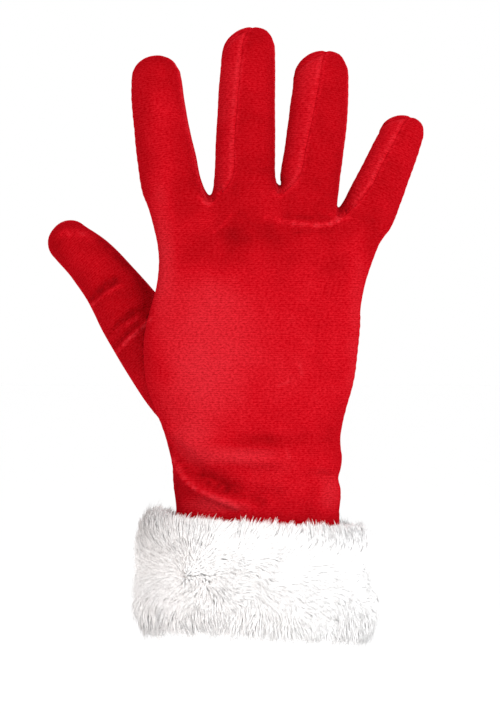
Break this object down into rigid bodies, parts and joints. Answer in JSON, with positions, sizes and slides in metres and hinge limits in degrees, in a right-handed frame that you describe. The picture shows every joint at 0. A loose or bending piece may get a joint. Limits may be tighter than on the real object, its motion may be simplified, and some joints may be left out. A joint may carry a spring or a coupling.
{
  "type": "santa glove",
  "caption": "Stretch velvet glove for a right hand with side strips between the fingers, a set-in thumb and a deep white fur cuff, hollow and open at the wrist.",
  "frame": {"origin": "middle of the wrist opening, at the cuff's hem", "axes": "+Z from the wrist to the fingertips, +X towards the little finger, -Y out of the back of the hand"},
  "size_m": [0.146, 0.0715, 0.2355],
  "materials": {
    "velvet": "soft stretch velvet with a low sheen and fine cross ribs",
    "fur": "dense short white plush"
  },
  "bodies": {
    "root": {"back_panel": "velvet", "palm_panel": "velvet", "fourchette_index_middle": "velvet", "fourchette_middle_ring": "velvet", "fourchette_ring_little": "velvet", "thumb": "velvet", "fur_cuff": "fur"}
  },
  "joints": []
}
